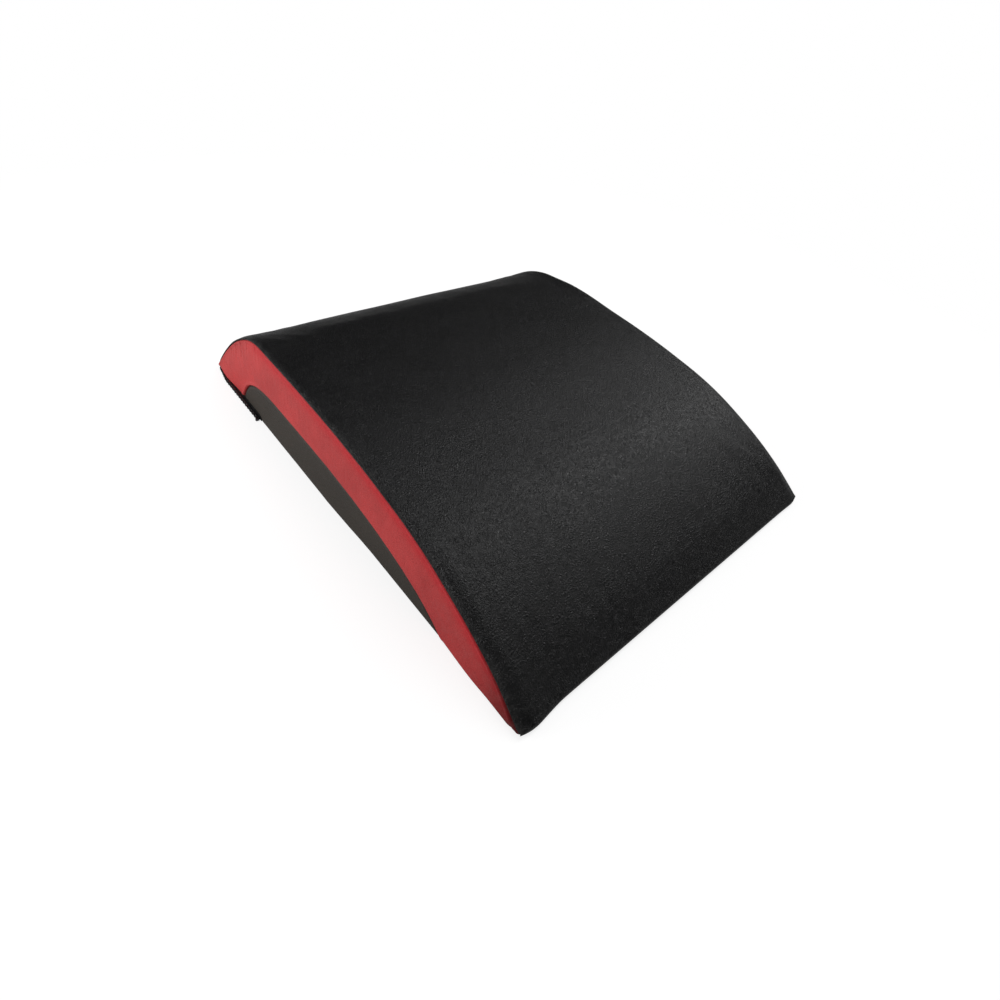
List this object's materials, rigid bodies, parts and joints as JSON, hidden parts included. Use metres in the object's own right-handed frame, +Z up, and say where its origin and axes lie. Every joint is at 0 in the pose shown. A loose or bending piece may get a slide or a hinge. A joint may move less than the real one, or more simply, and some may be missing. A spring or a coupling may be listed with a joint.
{
  "type": "ab mat",
  "caption": "Wedge shaped foam back support in a sewn cover with a curved top, side insets and a zip at the foot of the rear wall.",
  "frame": {"origin": "centre of the flat underside, at the level of the surface that the mat rests on", "axes": "+Z up, +Y towards the high rear end, +X across the width to the right when seen from the thin front edge"},
  "size_m": [0.3135, 0.3882, 0.0662],
  "materials": {
    "black_leather": "fine pebble grain, satin",
    "red_leather": "fine grain, satin",
    "grey_inset": "fine grain, matte",
    "foam": "fine open cells, matte",
    "base_cloth": "woven cloth with raised grip dots",
    "zip_tape": "narrow woven tape",
    "zip_teeth": "moulded, satin",
    "zip_metal": "dark nickel plate, satin"
  },
  "bodies": {
    "mat": {"foam_core": "foam", "top_cover": "black_leather", "left_side_panel": "red_leather", "right_side_panel": "red_leather", "left_side_inset": "grey_inset", "right_side_inset": "grey_inset", "base_panel": "base_cloth", "zip_tape_upper": "zip_tape", "zip_tape_lower": "zip_tape", "zip_teeth_upper": "zip_teeth", "zip_teeth_lower": "zip_teeth", "zip_bottom_stop": "zip_metal", "zip_top_stop_lower": "zip_metal", "zip_top_stop_upper": "zip_metal"},
    "slider": {"zip_slider": "zip_metal"},
    "pull_tab": {"zip_pull_tab": "zip_metal"}
  },
  "joints": [
    {"name": "zip_slide", "type": "slide", "parent": "mat", "child": "slider", "axis": [-1, 0, 0], "range_m": [0, 0.275]},
    {"name": "tab_hinge", "type": "hinge", "parent": "slider", "child": "pull_tab", "pos_m": [0.13315, 0.1964, 0.00305], "axis": [0, 0, -1], "range_deg": [0, 175]}
  ]
}
